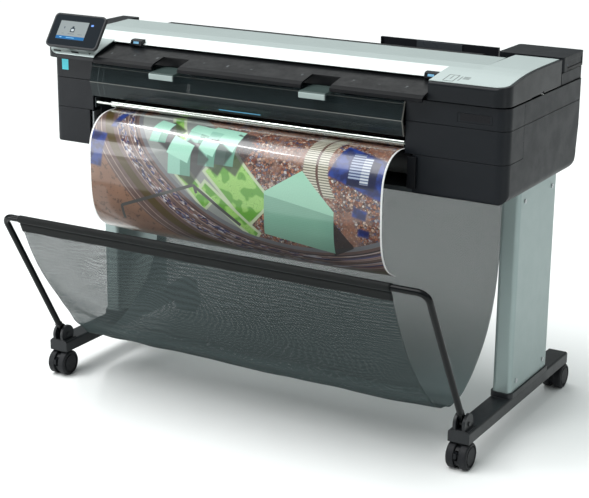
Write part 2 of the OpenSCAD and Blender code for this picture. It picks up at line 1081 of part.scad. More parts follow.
leg_left();
leg_right();
foot_left();
foot_right();
cross_brace();
stand_screws();
fork_fl();
fork_fr();
fork_rl();
fork_rr();
wheels_fl();
wheels_fr();
wheels_rl();
wheels_rr();
brake_left();
brake_right();
bail();
bail_bracket_left();
bail_bracket_right();
sling_cloth();
sling_rod();
chassis();
back_cover();
left_lower_cover();
left_middle_cover();
left_upper_cover();
right_lower_cover();
right_middle_cover();
right_upper_cover();
right_side_strip();
platen();
feed_roller();
output_rod();
carriage_rail();
carriage();
service_station();
roll_holder_left();
roll_holder_right();
spindle();
paper_roll();
print_sheet();
rear_deck();
guide_left();
guide_right();
ink_bay();
ink_cartridges();
ink_cover();
power_switch();
scanner_frame();
cap_left();
cap_right();
deck_left();
deck_right();
input_tray();
window();
scanner_lid();
latch_left();
latch_right();
touch_panel();
touch_screen();
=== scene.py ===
"""Large format plotter: looks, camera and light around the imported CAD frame. Units are metres."""
import math

import bpy
import numpy as np
from mathutils import Matrix, Vector


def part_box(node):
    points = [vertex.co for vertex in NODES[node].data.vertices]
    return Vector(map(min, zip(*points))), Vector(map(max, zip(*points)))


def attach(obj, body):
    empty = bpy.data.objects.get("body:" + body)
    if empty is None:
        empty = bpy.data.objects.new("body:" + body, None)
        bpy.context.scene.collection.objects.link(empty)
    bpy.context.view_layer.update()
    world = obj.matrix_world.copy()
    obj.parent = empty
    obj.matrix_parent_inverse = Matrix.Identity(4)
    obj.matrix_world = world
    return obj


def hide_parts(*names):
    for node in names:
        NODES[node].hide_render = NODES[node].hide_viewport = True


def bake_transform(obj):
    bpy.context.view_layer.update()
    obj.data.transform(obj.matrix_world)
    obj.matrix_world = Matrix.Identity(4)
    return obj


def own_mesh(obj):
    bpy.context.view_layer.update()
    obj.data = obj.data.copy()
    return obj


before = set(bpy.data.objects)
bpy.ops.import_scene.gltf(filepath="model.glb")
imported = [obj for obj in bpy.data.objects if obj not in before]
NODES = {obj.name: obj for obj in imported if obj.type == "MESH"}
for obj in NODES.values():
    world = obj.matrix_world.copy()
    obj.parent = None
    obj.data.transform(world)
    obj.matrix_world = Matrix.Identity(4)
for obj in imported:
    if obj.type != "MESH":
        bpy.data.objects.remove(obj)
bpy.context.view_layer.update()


# ---------------------------------------------------------------- shader maths
class V:
    """A socket of a material's node tree, with arithmetic."""

    def __init__(self, mat, socket):
        self.mat, self.socket = mat, socket

    def _math(self, op, *rest, clamp=False):
        n = self.mat.new("Math", operation=op, use_clamp=clamp)
        for i, x in enumerate((self, *rest)):
            self.mat.put(x, n.inputs[i])
        return V(self.mat, n.outputs[0])

    def __add__(self, o):
        return self._math("ADD", o)

    __radd__ = __add__

    def __sub__(self, o):
        return self._math("SUBTRACT", o)

    def __rsub__(self, o):
        return (self * -1.0) + o

    def __mul__(self, o):
        return self._math("MULTIPLY", o)

    __rmul__ = __mul__

    def __truediv__(self, o):
        return self._math("DIVIDE", o)

    def __abs__(self):
        return self._math("ABSOLUTE")

    def min(self, o):
        return self._math("MINIMUM", o)

    def max(self, o):
        return self._math("MAXIMUM", o)

    def frac(self):
        return self._math("FRACT")

    def sqrt(self):
        return self._math("SQRT")

    def above(self, o):
        return self._math("GREATER_THAN", o)

    def below(self, o):
        return self._math("LESS_THAN", o)

    def inv(self):
        return 1.0 - self

    def smooth(self, lo, hi, a=0.0, b=1.0):
        """a at lo and b at hi, smooth between and flat outside."""
        n = self.mat.new("MapRange", interpolation_type="SMOOTHSTEP")
        for i, x in enumerate((self, lo, hi, a, b)):
            self.mat.put(x, n.inputs[i])
        return V(self.mat, n.outputs[0])

    def within(self, lo, hi, soft=0.0004):
        """1 between lo and hi, with soft edges."""
        return self.smooth(lo - soft, lo + soft) * self.smooth(hi - soft, hi + soft, 1.0, 0.0)


class Mat:
    """A procedural material: one Principled shader and whatever feeds it."""

    def __init__(self, name, **consts):
        self.m = bpy.data.materials.new(name)
        self.m.use_nodes = True
        self.t = self.m.node_tree
        self.t.nodes.clear()
        out = self.new("OutputMaterial")
        self.b = self.new("BsdfPrincipled")
        self.t.links.new(self.b.outputs[0], out.inputs[0])
        for k, v in consts.items():
            self.set(k, v)

    def new(self, kind, **props):
        n = self.t.nodes.new("ShaderNode" + kind)
        for k, v in props.items():
            setattr(n, k, v)
        return n

    def put(self, value, socket):
        if isinstance(value, V):
            self.t.links.new(value.socket, socket)
        elif isinstance(value, (tuple, list)) and len(value) == 3 and socket.type == "RGBA":
            socket.default_value = (*value, 1)
        else:
            socket.default_value = value

    def set(self, name, value):
        self.put(value, self.b.inputs[name.replace("_", " ")])
        return self

    def coords(self, which="Object"):
        """The coordinate vector and its three numbers."""
        v = V(self, self.new("TexCoord").outputs[which])
        n = self.new("SeparateXYZ")
        self.put(v, n.inputs[0])
        return v, [V(self, s) for s in n.outputs]

    def vec(self, x, y, z=0.0):
        n = self.new("CombineXYZ")
        for i, a in enumerate((x, y, z)):
            self.put(a, n.inputs[i])
        return V(self, n.outputs[0])

    def noise(self, vec, scale, detail=2.0, rough=0.5):
        n = self.new("TexNoise")
        self.put(vec, n.inputs["Vector"])
        for k, v in (("Scale", scale), ("Detail", detail), ("Roughness", rough)):
            n.inputs[k].default_value = v
        return V(self, n.outputs[0])

    def cells(self, vec, scale, feature="F1", out="Color"):
        n = self.new("TexVoronoi", feature=feature)
        self.put(vec, n.inputs["Vector"])
        n.inputs["Scale"].default_value = scale
        return V(self, n.outputs[out])

    def mix(self, fac, a, b, mode="MIX"):
        n = self.new("Mix", data_type="RGBA", blend_type=mode)
        self.put(fac, n.inputs[0])
        self.put(a, n.inputs[6])
        self.put(b, n.inputs[7])
        return V(self, n.outputs[2])

    def ramp(self, fac, *stops):
        n = self.new("ValToRGB")
        self.put(fac, n.inputs[0])
        cr = n.color_ramp
        while len(cr.elements) < len(stops):
            cr.elements.new(0.5)
        for e, (p, c) in zip(cr.elements, stops):
            e.position, e.color = p, (*c, 1)
        return V(self, n.outputs[0])

    def relief(self, height=None, strength=0.3, distance=0.0002, edge=0.0):
        """Rounds sharp edges by that radius and adds a height to the surface."""
        normal = None
        if edge:
            n = self.new("Bevel", samples=4)
            n.inputs[0].default_value = edge
            normal = V(self, n.outputs[0])
        if height is not None:
            n = self.new("Bump")
            n.inputs["Strength"].default_value = strength
            n.inputs["Distance"].default_value = distance
            self.put(height, n.inputs["Height"])
            if normal is not None:
                self.put(normal, n.inputs["Normal"])
            normal = V(self, n.outputs[0])
        if normal is not None:
            self.put(normal, self.b.inputs["Normal"])
        return self


def tint(c, k):
    return tuple(min(1.0, x * k) for x in c)


# What all moulded materials share: noise scales per metre, and the height of the grain in metres.
DRIFT_SCALE, SMUDGE_SCALE = 5.0, 21.0
GRAIN_HEIGHT = 0.00012


def moulded(name, colour, rough=0.45, grain=0.25, edge=0.0012, fine=1500.0, vary=0.12, marks=None,
            shine=0.16, uneven=0.04, **consts):
    """Moulded plastic or powder coat: fine grain, slow colour change and light smudges in the gloss."""
    g = Mat(name, **consts)
    vec, xyz = g.coords()
    slow = g.noise(vec, DRIFT_SCALE, 3)
    speck = g.noise(vec, fine, 2, 0.6)
    c = g.mix(slow, tint(colour, 1 - vary), tint(colour, 1 + vary))
    c = g.mix(speck * 0.12, c, tint(colour, 1.8))
    smudge = g.noise(vec, SMUDGE_SCALE, 4, 0.6)
    r = smudge.smooth(0.3, 0.7, rough - uneven, rough + uneven)
    height = speck
    if marks:
        c, r, height = marks(g, vec, xyz, c, r, height)
    g.set("Base Color", c).set("Roughness", r)
    g.b.inputs["Specular IOR Level"].default_value = shine
    g.relief(height, grain, GRAIN_HEIGHT, edge)
    return g.m


# ---------------------------------------------------------------- materials
SLATE = (0.0075, 0.0092, 0.0118)
BLACK = (0.0045, 0.0052, 0.0065)
BUTTON_BLACK = (0.010, 0.011, 0.013)
SILVER = (0.40, 0.465, 0.455)


def bar(a, b, ca, cb, half_a, half_b, soft=0.0003):
    """1 inside a small rectangle round (ca, cb)."""
    return (a - ca).within(-half_a, half_a, soft) * (b - cb).within(-half_b, half_b, soft)


# Marks on the covers: where each starts and ends along an axis.
FRONT_Y = -0.14
SQUARE_X, SQUARE_Z = (-0.667, -0.6445), (0.898, 0.928)
PLATE_X, PLATE_Z = (0.573, 0.654), (0.8935, 0.912)
RIGHT_SIDE_X = 0.7005
RECESS_Y, RECESS_Z = (0.228, 0.343), (0.961, 0.989)
LINE_Y, LINE_Z = (0.231, 0.341), (0.9835, 0.9875)
TOP_SEAM_X, TOP_Z = (0.5525, 0.5542), 0.99


def slate_marks(g, vec, xyz, c, r, h):
    """A blue square and a blank plate in front, a recess painted near black as its shade with a blue line at
    the side, a seam on top.
    """
    x, y, z = xyz
    front = y.below(FRONT_Y)
    side = x.above(RIGHT_SIDE_X)
    c = g.mix(x.within(*SQUARE_X) * z.within(*SQUARE_Z) * front, c, (0.10, 0.62, 0.72))
    # The side recess is painted near black: painted shade inside it.
    c = g.mix(side * y.within(*RECESS_Y, 0.001) * z.within(*RECESS_Z, 0.001), c, (0.002, 0.002, 0.0025))
    c = g.mix(side * y.within(*LINE_Y, 0.001) * z.within(*LINE_Z, 0.0006), c, (0.06, 0.20, 0.36))
    c = g.mix(x.within(*TOP_SEAM_X, 0.0003) * z.above(TOP_Z) * 0.8, c, (0.001, 0.001, 0.0015))
    plate = x.within(*PLATE_X, 0.001) * z.within(*PLATE_Z, 0.001) * front
    c = g.mix(plate, c, (0.006, 0.006, 0.008))
    r = g.mix(plate, r, (0.12, 0.12, 0.12))
    return c, r, h * plate.inv() + plate * 0.6


def leg_marks(g, vec, xyz, c, r, h):
    """Faint upright streaks in the paint."""
    x, y, z = xyz
    streak = g.noise(g.vec(x, y, z * 0.04), 160.0, 3, 0.6)
    return g.mix(streak * 0.25, c, tint(SILVER, 0.8)), r, h * 0.6 + streak * 0.4


TICK_STEP, TICK_Y = 0.0762, (-0.152, -0.140)
DIMPLE_STEP_X, DIMPLE_STEP_Y = 0.0127, 0.011


def tray_marks(g, vec, xyz, c, r, h):
    """Worn pale ticks along the front edge, rows of dimples painted darker as their shade, and a mottled
    gloss.
    """
    x, y, z = xyz
    tick = (x / TICK_STEP).frac().within(0.46, 0.54, 0.01) * y.within(*TICK_Y, 0.001)
    shaded_dimple = (x / DIMPLE_STEP_X).frac().within(0.35, 0.6, 0.03)
    shaded_dimple = shaded_dimple * (y / DIMPLE_STEP_Y).frac().within(0.4, 0.52, 0.03)
    c = g.mix(tick * g.noise(vec, 90.0, 2).smooth(0.4, 0.6), c, (0.10, 0.11, 0.115))
    # The dimples are painted darker: painted shade in each hollow.
    c = g.mix(shaded_dimple * 0.5, c, (0.0015, 0.0015, 0.002))
    mottle = g.noise(vec, 55.0, 4, 0.7)
    return c, r + mottle.smooth(0.35, 0.65, -0.03, 0.04), h + mottle * 0.25


LID_CREASE_Y = (-0.029, -0.024)


def lid_painted_highlight(g, vec, xyz, c, r, h):
    """The sloping front band is painted much paler than the top: a painted highlight where that face catches
    the light.
    """
    # Painted highlight on the sloping front band.
    highlight_band = xyz[1].smooth(*LID_CREASE_Y, 1.0, 0.0)
    return g.mix(highlight_band, c, (0.80, 0.86, 0.85)), r, h


# The bars of the pictograms on the right deck: middle x and y, half width, half depth.
PICTOGRAMS = (
    (0.519, -0.128, 0.0012, 0.024), (0.546, -0.128, 0.0012, 0.024),
    (0.532, -0.105, 0.0135, 0.0014), (0.532, -0.151, 0.0135, 0.0014),
    (0.532, -0.122, 0.0012, 0.013), (0.5565, -0.127, 0.0012, 0.017),
    (0.571, -0.112, 0.009, 0.0014), (0.571, -0.117, 0.009, 0.0014),
    (0.571, -0.122, 0.009, 0.0014), (0.571, -0.127, 0.009, 0.0014),
    (0.532, -0.164, 0.014, 0.0012), (0.556, -0.164, 0.006, 0.0012), (0.575, -0.164, 0.008, 0.0012),
)
GROOVE_STEP, GROOVE_X, GROOVE_Y = 0.062, (-0.676, -0.545), (-0.1855, -0.1800)


def deck_marks(g, vec, xyz, c, r, h):
    """Plain pictograms on the right: a sheet, an arrow and lines. Short grooves in the left lip, painted near
    black as their shade.
    """
    x, y, z = xyz
    ink = None
    for place in PICTOGRAMS:
        m = bar(x, y, *place)
        ink = m if ink is None else ink.max(m)
    c = g.mix(ink * 0.85, c, (0.03, 0.035, 0.035))
    shaded_groove = ((x + y * 1.4) / GROOVE_STEP).frac().below(0.42)
    shaded_groove = shaded_groove * y.within(*GROOVE_Y, 0.0006) * x.within(*GROOVE_X)
    # The grooves are painted near black: painted shade inside them, besides their dent.
    c = g.mix(shaded_groove, c, (0.012, 0.013, 0.014))
    return c, r, h - shaded_groove * 0.8


GUIDE_INSERT_X, GUIDE_INSERT_Z = (0.212, 0.352), 0.971


def guide_marks(g, vec, xyz, c, r, h):
    """A grey insert along the standing guide's top."""
    insert = xyz[0].within(*GUIDE_INSERT_X) * xyz[2].above(GUIDE_INSERT_Z)
    return g.mix(insert * 0.6, c, (0.07, 0.08, 0.09)), r, h


LATCH_FRONT_Y = -0.07
LATCH_BAR = (0.009, 0.003)


def latch_material(node):
    """Black button with a pale blue bar in its front."""
    lo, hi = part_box(node)
    cx, cz = (lo.x + hi.x) / 2, (lo.z + hi.z) / 2
    wide, high = LATCH_BAR

    def marks(g, vec, xyz, c, r, h):
        x, y, z = xyz
        m = x.within(cx - wide, cx + wide, 0.0004) * z.within(cz - high, cz + high, 0.0004)
        return g.mix(m * y.below(LATCH_FRONT_Y), c, (0.22, 0.48, 0.70)), r, h
    return moulded(node + "_plastic", BUTTON_BLACK, 0.28, 0.2, 0.0012, marks=marks)


# The window's moulded details and its painted highlights: where each starts and ends.
GRIPS_X = ((-0.3262, -0.2488), (0.1428, 0.2202))
GRIP_FRONT_Y, GRIP_LOW_Z, GRIP_TOP_Z = -0.1635, 0.9125, 0.9262
LIP_Y, LIP_Z = -0.2085, 0.9285
FOLD_Z, FOLD_Y = (0.8752, 0.8768), -0.166
TOP_LINE_Z, TOP_LINE_Y = (0.9175, 0.9190), -0.155
END_X, END_Y = 0.4195, -0.156
SEAMS_X = ((-0.5325, -0.5312), (-0.5145, -0.5136))
BLUE_X, BLUE_Z, BLUE_Y = (-0.133, -0.002), (0.8405, 0.8430), -0.15


def window_material():
    """Smoked clear plastic: a fold line and a line near the top painted pale as highlights, paler grips, and
    fine seam lines moulded in it.
    """
    g = Mat("smoked_window", Roughness=0.09, IOR=1.45)
    vec, (x, y, z) = g.coords()
    slow = g.noise(vec, 3.0, 3)
    c = g.mix(slow, (0.012, 0.018, 0.020), (0.022, 0.031, 0.033))
    at_grip = x.within(*GRIPS_X[0]).max(x.within(*GRIPS_X[1]))
    grip = at_grip * (y.below(GRIP_FRONT_Y) * z.above(GRIP_LOW_Z)).max(z.above(GRIP_TOP_Z))
    lip = grip * y.below(LIP_Y) * z.below(LIP_Z)
    c = g.mix(grip, c, (0.055, 0.078, 0.074))
    c = g.mix(lip, c, (0.30, 0.36, 0.35))
    # The fold and the line near the top are painted pale: painted highlights along the bends.
    fold_highlight = z.within(*FOLD_Z, 0.0005) * y.below(FOLD_Y)
    top_edge_highlight = z.within(*TOP_LINE_Z, 0.0004) * y.below(TOP_LINE_Y) * grip.inv()
    end = x.above(END_X) * y.below(END_Y)
    c = g.mix(fold_highlight * 0.8, c, (0.26, 0.26, 0.24))
    c = g.mix(top_edge_highlight * 0.6, c, (0.12, 0.12, 0.11))
    c = g.mix(end * 0.7, c, (0.16, 0.155, 0.14))
    seams = x.within(*SEAMS_X[0], 0.0003).max(x.within(*SEAMS_X[1], 0.0003))
    c = g.mix(seams * 0.6, c, (0.12, 0.14, 0.14))
    blue = x.within(*BLUE_X, 0.001) * z.within(*BLUE_Z, 0.0004) * y.below(BLUE_Y)
    g.set("Base Color", g.mix(blue, c, (0.12, 0.38, 0.60)))
    g.set("Alpha", (grip * 0.35 + fold_highlight + end + blue + top_edge_highlight * 0.4 + slow * 0.06 + 0.80).min(1.0))
    g.set("Specular IOR Level", 0.3)
    g.relief(None, edge=0.001)
    return g.m


ROLL_Y, ROLL_Z = -0.081, 0.748
LAYERS_PER_METRE = 9000.0


def roll_paper():
    """Paper painted near black all over as painted shade, and the wound layers' fine rings on its ends."""
    g = Mat("painted_shade_paper", Sheen_Weight=0.1)
    vec, (_, y, z) = g.coords()
    dy, dz = y - ROLL_Y, z - ROLL_Z
    rings = (dy * dy + dz * dz).sqrt() * LAYERS_PER_METRE
    edge = g.noise(g.vec(rings, 0.0), 1.0, 2)
    fibre = g.noise(vec, 700.0, 4, 0.6)
    # The roll's near-black colour is painted shade, not the paper's own colour.
    g.set("Base Color", g.mix(edge * 0.3 + fibre * 0.1, (0.085, 0.09, 0.09), (0.05, 0.054, 0.054)))
    g.set("Roughness", fibre.smooth(0.3, 0.7, 0.55, 0.7))
    g.relief(fibre, 0.2, 0.0001)
    return g.m


# The display, measured along its own slope from its middle. Each mark is a middle, half sizes and a colour.
SCREEN_LEAN = 54.5
LIT_A, LIT_B, BAND_B = (-0.0615, 0.0365), (-0.027, 0.029), (-0.027, -0.0175)
SCREEN_MARKS = (
    (-0.0125, 0.002, 0.0075, 0.0065, (0.02, 0.03, 0.04)),
    (-0.0125, 0.002, 0.0045, 0.0035, (0.40, 0.44, 0.47)),
    (-0.0125, 0.0105, 0.0035, 0.003, (0.02, 0.03, 0.04)),
    (-0.042, 0.008, 0.002, 0.003, (0.08, 0.1, 0.12)),
    (-0.042, -0.010, 0.004, 0.0008, (0.12, 0.14, 0.16)),
    (-0.014, -0.010, 0.011, 0.0008, (0.12, 0.14, 0.16)),
    (0.018, -0.010, 0.008, 0.0008, (0.12, 0.14, 0.16)),
    (-0.045, -0.022, 0.004, 0.0008, (0.30, 0.55, 0.8)),
    (-0.012, -0.022, 0.014, 0.0008, (0.20, 0.45, 0.7)),
    (0.050, 0.021, 0.004, 0.0028, (0.15, 0.30, 0.75)),
)


def screen_material():
    """Dark glass with a dim, generic lit picture and a little dust."""
    g = Mat("screen_glass")
    g.set("Specular IOR Level", 0.03)
    vec, (x, y, z) = g.coords()
    lo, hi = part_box("touch_screen")
    mid = (lo + hi) / 2
    lean = math.radians(SCREEN_LEAN)
    a = x - mid.x
    b = (z - mid.z) * math.sin(lean) + (y - mid.y) * math.cos(lean)
    lit = a.within(*LIT_A) * b.within(*LIT_B)
    c = g.mix(lit, (0.006, 0.010, 0.014), (0.21, 0.235, 0.24))
    c = g.mix(a.within(*LIT_A) * b.within(*BAND_B), c, (0.012, 0.105, 0.27))
    for *place, colour in SCREEN_MARKS:
        c = g.mix(bar(a, b, *place), c, colour)
    dust = g.noise(vec, 60.0, 4, 0.7)
    g.set("Base Color", c)
    g.set("Roughness", dust.smooth(0.4, 0.7, 0.04, 0.10))
    g.set("Emission Color", c)
    g.set("Emission Strength", lit * 0.03)
    return g.m


M = {
    "cover_slate": moulded("slate_plastic", SLATE, 0.42, 0.3, 0.0016, marks=slate_marks),
    "cap_black": moulded("cap_plastic", (0.006, 0.0074, 0.0095), 0.34, 0.22, 0.002, shine=0.18),
    "inner_black": moulded("inner_plastic", BLACK, 0.4, 0.25, 0.001, shine=0.15),
    "tray_black": moulded("tray_plastic", (0.0045, 0.005, 0.006), 0.4, 0.5, 0.001, 420.0,
                          marks=tray_marks, shine=0.14),
    "deck_silver": moulded("deck_paint", (0.47, 0.54, 0.53), 0.38, 0.12, 0.001, 2400.0, 0.03,
                           marks=deck_marks, uneven=0.01, Metallic=0.3),
    "lid_silver": moulded("lid_paint", (0.43, 0.50, 0.49), 0.36, 0.12, 0.001, 2400.0, 0.03,
                          marks=lid_painted_highlight, uneven=0.01, shine=0.5, Metallic=0.35),
    "leg_paint": moulded("leg_paint", (0.27, 0.335, 0.33), 0.36, 0.2, 0.002, 1300.0, 0.05,
                         marks=leg_marks, Metallic=0.45),
    "foot_paint": moulded("foot_powder_coat", (0.012, 0.014, 0.016), 0.38, 0.5, 0.0015, 900.0, shine=0.3),
    "caster_plastic": moulded("caster_plastic", BUTTON_BLACK, 0.33, 0.25, 0.001),
    "wheel_rubber": moulded("wheel_tread", (0.014, 0.015, 0.017), 0.5, 0.35, 0.001),
    "bail_paint": moulded("bail_gloss_paint", (0.0022, 0.003, 0.0035), 0.2, 0.1, 0.0, 700.0),
    "holder_silver": moulded("holder_metal", (0.42, 0.45, 0.46), 0.3, 0.15, 0.001, Metallic=0.7),
    "screw_steel": moulded("screw_steel", (0.45, 0.47, 0.48), 0.3, 0.15, 0.0008, Metallic=1.0),
    # The chassis is painted dark: painted shade inside the machine.
    "chassis_steel": moulded("steel_painted_inner_shade", (0.040, 0.047, 0.050), 0.6, 0.02, 0.0008, 260.0, shine=0.08),
    "rod_chrome": moulded("polished_rod", (0.42, 0.45, 0.42), 0.16, 0.08, 0.0, 900.0, 0.05, Metallic=1.0),
    "roller_rubber": moulded("roller_rubber", (0.02, 0.02, 0.022), 0.6, 0.4, 0.0006),
    "panel_frame": moulded("panel_frame_plastic", (0.048, 0.050, 0.053), 0.4, 0.2, 0.0012, shine=0.06),
    "cartridge_black": moulded("cartridge_plastic", (0.015, 0.015, 0.018), 0.4, 0.3, 0.0012),
    "guide_black": moulded("guide_plastic", (0.012, 0.013, 0.016), 0.3, 0.25, 0.0012, marks=guide_marks),
    "window_smoke": window_material(),
    "roll_paper": roll_paper(),
    "screen_glass": screen_material(),
    "latch_left": latch_material("latch_left"),
    "latch_right": latch_material("latch_right"),
}

# The CAD nodes that each material covers.
COVERS = {
    "leg_paint": "leg_left leg_right",
    "foot_paint": "foot_left foot_right cross_brace bail_bracket_left bail_bracket_right",
    "screw_steel": "stand_screws sling_rod",
    "caster_plastic": "fork_fl fork_fr fork_rl fork_rr brake_left brake_right",
    "wheel_rubber": "wheels_fl wheels_fr wheels_rl wheels_rr",
    "bail_paint": "bail",
    "chassis_steel": "chassis carriage_rail",
    "cover_slate": "back_cover left_lower_cover left_middle_cover left_upper_cover right_lower_cover "
                   "right_middle_cover right_upper_cover right_side_strip ink_cover ink_bay",
    "inner_black": "platen carriage service_station roll_holder_right spindle power_switch rear_deck "
                   "scanner_frame",
    "guide_black": "guide_left guide_right",
    "cap_black": "cap_left cap_right",
    "panel_frame": "touch_panel",
    "holder_silver": "roll_holder_left",
    "rod_chrome": "output_rod",
    "roller_rubber": "feed_roller",
    "roll_paper": "paper_roll",
    "cartridge_black": "ink_cartridges",
    "deck_silver": "deck_left deck_right",
    "lid_silver": "scanner_lid",
    "tray_black": "input_tray",
    "window_smoke": "window",
    "screen_glass": "touch_screen",
    "latch_left": "latch_left",
    "latch_right": "latch_right",
}
for material, names in COVERS.items():
    for name in names.split():
        for slot in NODES[name].material_slots:
            slot.material = M[material]


# ---------------------------------------------------------------- sheets of paper and cloth
CURVE_STEPS = 24


def smooth_path(points, step):
    """A Catmull-Rom curve through the points (mm), as evenly spaced points in metres and their distances."""
    p = np.array(points, float) / 1000
    p = np.vstack([2 * p[0] - p[1], p, 2 * p[-1] - p[-2]])
    fine = []
    for i in range(1, len(p) - 2):
        a, b, c, d = p[i - 1:i + 3]
        for t in np.linspace(0, 1, CURVE_STEPS, endpoint=False):
            fine.append(0.5 * (2 * b + (c - a) * t + (2 * a - 5 * b + 4 * c - d) * t * t
                               + (3 * b - a - 3 * c + d) * t ** 3))
    fine.append(p[-2])
    fine = np.array(fine)
    s = np.r_[0, np.cumsum(np.linalg.norm(np.diff(fine, axis=0), axis=1))]
    n = max(2, int(round(s[-1] / step)))
    u = np.linspace(0, s[-1], n + 1)
    return np.c_[np.interp(u, s, fine[:, 0]), np.interp(u, s, fine[:, 1])], u


def grid_mesh(name, pos, uv, thickness):
    """A closed sheet of that thickness: its first side at pos[i][j], with UVs in metres."""
    n, m = pos.shape[:2]
    verts = pos.reshape(-1, 3)
    k = np.arange(n * m).reshape(n, m)
    quads = np.stack([k[:-1, :-1], k[:-1, 1:], k[1:, 1:], k[1:, :-1]], -1).reshape(-1, 4)
    du, dv = np.gradient(pos, axis=0), np.gradient(pos, axis=1)
    nor = np.cross(du, dv)
    nor /= np.linalg.norm(nor, axis=2, keepdims=True)
    back = (pos - nor * thickness).reshape(-1, 3)
    off = n * m
    rim = np.concatenate([k[0, :], k[1:, -1], k[-1, -2::-1], k[-2:0:-1, 0]])
    nxt = np.roll(rim, -1)
    sides = np.stack([rim, rim + off, nxt + off, nxt], -1)
    quads = np.concatenate([quads, quads[:, ::-1] + off, sides])
    verts = np.concatenate([verts, back])
    me = bpy.data.meshes.new(name)
    me.from_pydata(verts.tolist(), [], quads.tolist())
    lay = me.uv_layers.new(name="UVMap")
    flat = uv.reshape(-1, 2)
    idx = np.zeros(len(me.loops), np.int32)
    me.loops.foreach_get("vertex_index", idx)
    lay.data.foreach_set("uv", flat[idx % (n * m)].ravel())
    me.polygons.foreach_set("use_smooth", [True] * len(me.polygons))
    me.update()
    o = bpy.data.objects.new(name, me)
    bpy.context.scene.collection.objects.link(o)
    return o


def strip(path, x0, x1, nx):
    """Positions of a sheet with that Y-Z path between x0 and x1, and UVs in metres."""
    pts, s = path
    xs = np.linspace(x0, x1, nx + 1)
    pos = np.zeros((len(xs), len(pts), 3))
    pos[..., 0] = xs[:, None]
    pos[..., 1] = pts[None, :, 0]
    pos[..., 2] = pts[None, :, 1]
    uv = np.zeros((len(xs), len(pts), 2))
    uv[..., 0] = (xs - x0)[:, None]
    uv[..., 1] = s[None, :]
    return pos, uv


# ---------------------------------------------------------------- print
PAPER_X0, PAPER_X1 = -0.493, 0.421
PAPER_THICK = 0.00028
WHITE_MARGIN = 0.005
PRINT_PATH = [(48, 813.4), (-60, 813.4), (-100, 812.6), (-124, 806), (-146, 801.5), (-172, 802), (-200, 798),
              (-226, 787), (-248, 767), (-263, 738), (-269, 700), (-270, 640), (-269, 580), (-261, 536),
              (-244, 502), (-221, 481), (-196, 467)]


def block(x, y, cx, cy, w2, h2, turn, soft=0.0012):
    """1 inside a turned rectangle with those half sides."""
    c, s = math.cos(turn), math.sin(turn)
    a = (x - cx) * c + (y - cy) * s
    b = (y - cy) * c - (x - cx) * s
    return abs(a).smooth(w2 - soft, w2 + soft, 1, 0) * abs(b).smooth(h2 - soft, h2 + soft, 1, 0)


def split_colour(g, colour, count=2):
    """The first channels of a colour, as numbers."""
    n = g.new("SeparateColor")
    g.put(colour, n.inputs[0])
    return [V(g, s) for s in n.outputs[:count]]


BLOCKS_PER_METRE = 165.0
TOWN_COLOURS = ((0.0, (0.05, 0.022, 0.02)), (0.2, (0.30, 0.08, 0.035)), (0.38, (0.52, 0.27, 0.16)),
                (0.55, (0.17, 0.10, 0.085)), (0.72, (0.68, 0.53, 0.42)), (0.88, (0.035, 0.05, 0.17)),
                (1.0, (0.72, 0.68, 0.62)))


def town_and_ground(g, p, w, inside):
    """Busy roofs inside the ring of roads, bare earth outside it."""
    shade = split_colour(g, g.cells(p, BLOCKS_PER_METRE), 1)[0]
    gaps = g.cells(p, BLOCKS_PER_METRE, "DISTANCE_TO_EDGE", "Distance")
    town = g.ramp(shade, *TOWN_COLOURS)
    town = g.mix(gaps.smooth(0.0, 0.12, 1, 0), town, (0.07, 0.035, 0.035))
    town = g.mix(g.noise(p, 14.0, 3).smooth(0.5, 0.6) * 0.6, town, (0.36, 0.21, 0.15))
    ground = g.mix(w, (0.24, 0.125, 0.075), (0.46, 0.28, 0.19))
    ground = g.mix(g.noise(p, 60.0, 4, 0.7).smooth(0.55, 0.62) * 0.6, ground, (0.07, 0.035, 0.025))
    return g.mix(inside, ground, town)


# The roads sweep round a centre up on the right, between these radii.
ROAD_X, ROAD_Y = 0.66, -0.25
ROAD_IN, ROAD_OUT = 0.602, 0.748
LANES_PER_METRE = 62.0
VERGE, PAVEMENT, KERB = (0.690, 0.713), (0.602, 0.614), (0.6225, 0.6250)
TRAFFIC = ((0.627, 0.643), (0.654, 0.676))
CAR_COLOURS = ((0.0, (0.02, 0.02, 0.05)), (0.4, (0.04, 0.05, 0.20)), (0.6, (0.6, 0.6, 0.62)),
               (0.85, (0.25, 0.06, 0.04)), (1.0, (0.8, 0.8, 0.8)))


def roads(g, p, r, t, col):
    asphalt = g.mix(g.noise(p, 40.0, 3), (0.115, 0.070, 0.062), (0.26, 0.17, 0.15))
    lanes = (r * LANES_PER_METRE).frac() - 0.5
    asphalt = g.mix(abs(lanes).smooth(0.40, 0.45), asphalt, (0.46, 0.36, 0.31))
    asphalt = g.mix(r.within(*VERGE, 0.0012), asphalt, (0.11, 0.072, 0.008))
    asphalt = g.mix(r.within(*PAVEMENT, 0.001), asphalt, (0.22, 0.23, 0.25))
    asphalt = g.mix(r.within(*KERB, 0.0005), asphalt, (0.02, 0.02, 0.035))
    there, paint = split_colour(g, g.cells(g.vec(r * 3.0, t * 3.0), 95.0))
    traffic = r.within(*TRAFFIC[0], 0.0005).max(r.within(*TRAFFIC[1], 0.0005))
    asphalt = g.mix(traffic * there.above(0.4), asphalt, g.ramp(paint, *CAR_COLOURS))
    return g.mix(r.within(ROAD_IN, ROAD_OUT, 0.001), col, asphalt)


# Each park: middle, half sides and turn.
PARKS = ((0.487, 0.212, 0.092, 0.050, 0.76), (0.265, 0.060, 0.060, 0.011, 1.0),
         (0.350, 0.235, 0.058, 0.016, 0.76), (0.46, 0.283, 0.10, 0.010, 0.62))
PARK_EDGE, PARK_REACH = 0.008, 0.605


